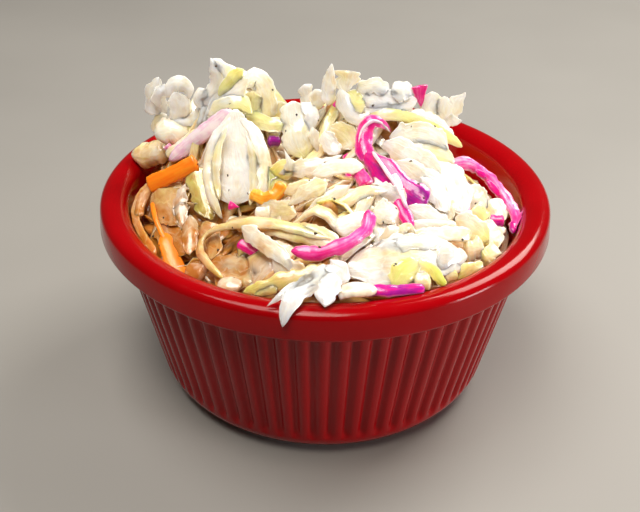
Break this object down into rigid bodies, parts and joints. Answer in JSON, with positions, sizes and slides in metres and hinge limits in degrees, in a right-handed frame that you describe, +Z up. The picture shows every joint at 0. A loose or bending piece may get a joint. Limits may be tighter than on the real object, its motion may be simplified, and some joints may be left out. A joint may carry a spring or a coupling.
{
  "type": "coleslaw in a fluted ramekin",
  "caption": "Creamy coleslaw of shredded white and red cabbage and carrot, heaped over the rim of a round red ramekin with a fluted wall.",
  "frame": {"origin": "middle of the foot ring's resting face", "axes": "+Z up along the cup's axis, and the slaw's taller lumps stand along X, with the open side towards -Y"},
  "size_m": [0.089, 0.089, 0.0633],
  "materials": {
    "melamine": "glossy red melamine",
    "slaw": "wet, dressed shredded cabbage and carrot"
  },
  "bodies": {
    "root": {"cup": "melamine", "slaw": "slaw"}
  },
  "joints": []
}
